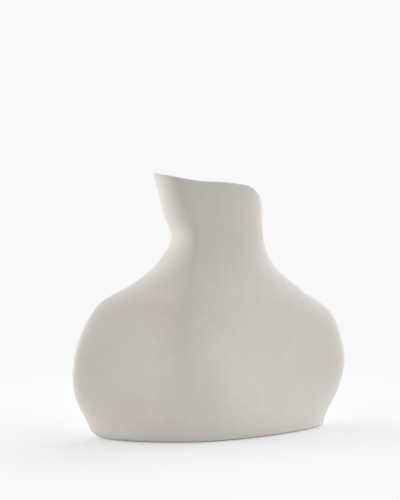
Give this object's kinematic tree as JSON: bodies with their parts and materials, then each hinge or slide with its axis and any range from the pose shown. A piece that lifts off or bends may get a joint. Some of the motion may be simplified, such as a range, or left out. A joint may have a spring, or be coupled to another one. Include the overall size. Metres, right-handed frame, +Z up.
{
  "type": "pillow vase",
  "caption": "Free-standing porcelain pillow vase with a wide flattened belly, a narrow off-centre neck and a slanted rim, matte outside and glazed inside, for holding stems in water.",
  "frame": {"origin": "centre of the vase's outer box at the underside of its base", "axes": "+X to the right along the wide belly as seen from the front, +Y through the flattened depth towards the back, +Z up"},
  "size_m": [0.284, 0.1121, 0.2583],
  "materials": {
    "bisque": "matte",
    "slip": "matte",
    "clear_glaze": "gloss"
  },
  "bodies": {
    "root": {"front_wall": "bisque", "back_wall": "bisque", "left_slip_seam": "slip", "right_slip_seam": "slip", "base_slab": "bisque", "base_slip_seam": "slip", "glaze_lining": "clear_glaze"}
  },
  "joints": []
}
